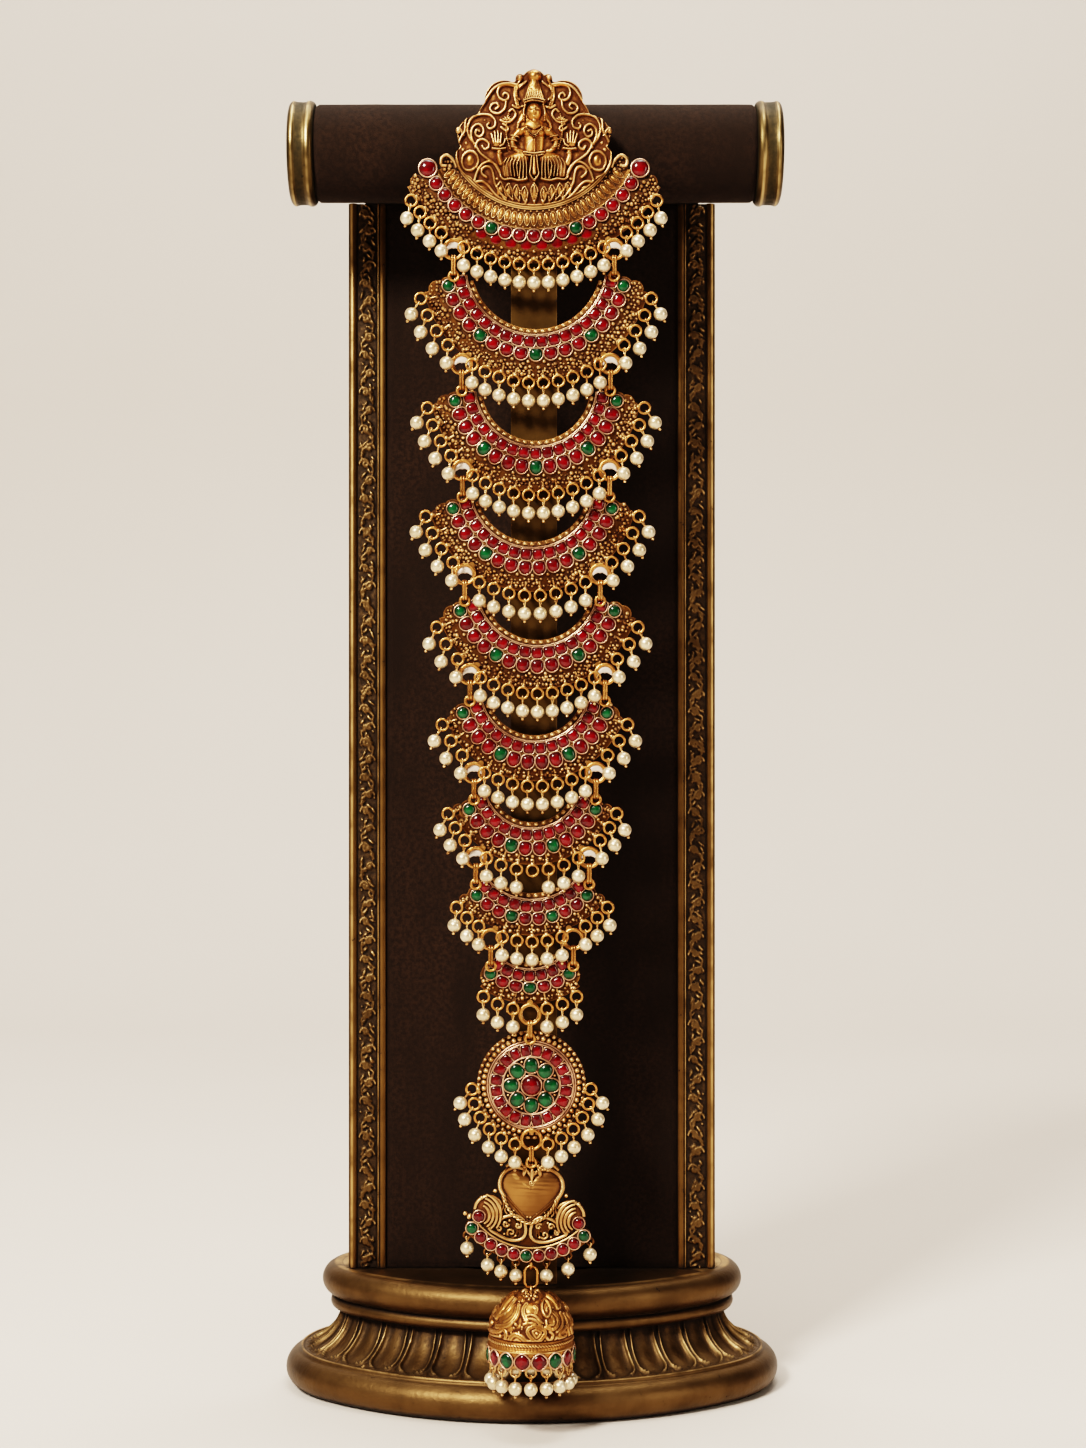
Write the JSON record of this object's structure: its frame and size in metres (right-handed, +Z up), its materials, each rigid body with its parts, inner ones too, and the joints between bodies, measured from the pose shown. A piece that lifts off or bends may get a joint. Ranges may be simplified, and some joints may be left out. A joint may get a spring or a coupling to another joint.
{
  "type": "hair brooch on display stand",
  "caption": "Long bridal braid brooch of crescent tiers with stones and pearl drops, a medallion, a heart and a bell drop, pinned to a velvet display stand.",
  "frame": {"origin": "middle of the foot's flat underside", "axes": "+Z up, -Y towards the front where the jewel hangs, +X to the viewer's right"},
  "size_m": [0.1494, 0.123, 0.383],
  "materials": {
    "bronze": "dark antique bronze patina, worn bright on its edges",
    "velvet": "short pile, very dark brown",
    "antique_gold": "antique matt yellow gold plate with brown recesses",
    "strip_brass": "plain satin brass",
    "pearl": "cream pearl on a gold pin",
    "stone": "foil-backed red or green glass cabochon"
  },
  "bodies": {
    "root": {"stand_base": "bronze", "left_column": "bronze", "right_column": "bronze", "cross_rail": "bronze", "left_bar_cap": "bronze", "right_bar_cap": "bronze", "velvet_panel": "velvet", "velvet_bar": "velvet", "backing_strip": "strip_brass", "top_plaque": "antique_gold", "tier_1": "antique_gold", "tier_2": "antique_gold", "tier_3": "antique_gold", "tier_4": "antique_gold", "tier_5": "antique_gold", "tier_6": "antique_gold", "tier_7": "antique_gold", "tier_8": "antique_gold", "tier_9": "antique_gold", "links_1": "antique_gold", "links_2": "antique_gold", "links_3": "antique_gold", "links_4": "antique_gold", "links_5": "antique_gold", "links_6": "antique_gold", "links_7": "antique_gold", "links_8": "antique_gold", "medallion_link": "antique_gold", "pendant_link": "antique_gold", "medallion": "antique_gold", "heart_pendant": "antique_gold", "pearls_1": "pearl", "pearls_2": "pearl", "pearls_3": "pearl", "pearls_4": "pearl", "pearls_5": "pearl", "pearls_6": "pearl", "pearls_7": "pearl", "pearls_8": "pearl", "pearls_9": "pearl", "medallion_pearls": "pearl", "pendant_pearls": "pearl", "stones_1": "stone", "stones_2": "stone", "stones_3": "stone", "stones_4": "stone", "stones_5": "stone", "stones_6": "stone", "stones_7": "stone", "stones_8": "stone", "stones_9": "stone", "medallion_stones": "stone", "pendant_stones": "stone"},
    "bail": {"bail": "antique_gold"},
    "bell": {"bell": "antique_gold", "bell_stones": "stone", "bell_pearls": "pearl"}
  },
  "joints": [
    {"name": "bail_swing", "type": "hinge", "parent": "root", "child": "bail", "pos_m": [0, -0.0575, 0.047], "axis": [1, 0, 0], "range_deg": [-45, 2]},
    {"name": "bell_swing", "type": "hinge", "parent": "bail", "child": "bell", "pos_m": [0, -0.0575, 0.04165], "axis": [0, 1, 0], "range_deg": [-15, 15]}
  ]
}
